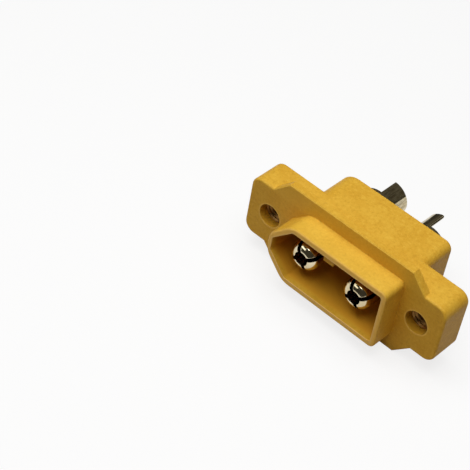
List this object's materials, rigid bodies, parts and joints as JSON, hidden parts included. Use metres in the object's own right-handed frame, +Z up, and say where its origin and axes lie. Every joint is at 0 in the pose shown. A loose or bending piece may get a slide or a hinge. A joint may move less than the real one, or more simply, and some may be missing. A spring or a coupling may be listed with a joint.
{
  "type": "panel-mount two-pole power plug",
  "caption": "Flanged two-pole power plug: split bullet pins in a keyed shroud, solder cups behind, and a flange with threaded inserts for panel screws.",
  "frame": {"origin": "centre of the flange's front face, midway between the two screw holes and the two pins", "axes": "-Y is the mating direction, out of the shroud; +X runs along the flange to the side whose shroud corners are square; +Z is up"},
  "size_m": [0.0264, 0.0161, 0.0116],
  "materials": {
    "nylon": "moulded, faint grain",
    "contact_metal": "polished pale gold plating",
    "insert_metal": "bright turned"
  },
  "bodies": {
    "root": {"housing": "nylon", "contact_left": "contact_metal", "contact_right": "contact_metal", "insert_left": "insert_metal", "insert_right": "insert_metal"}
  },
  "joints": []
}
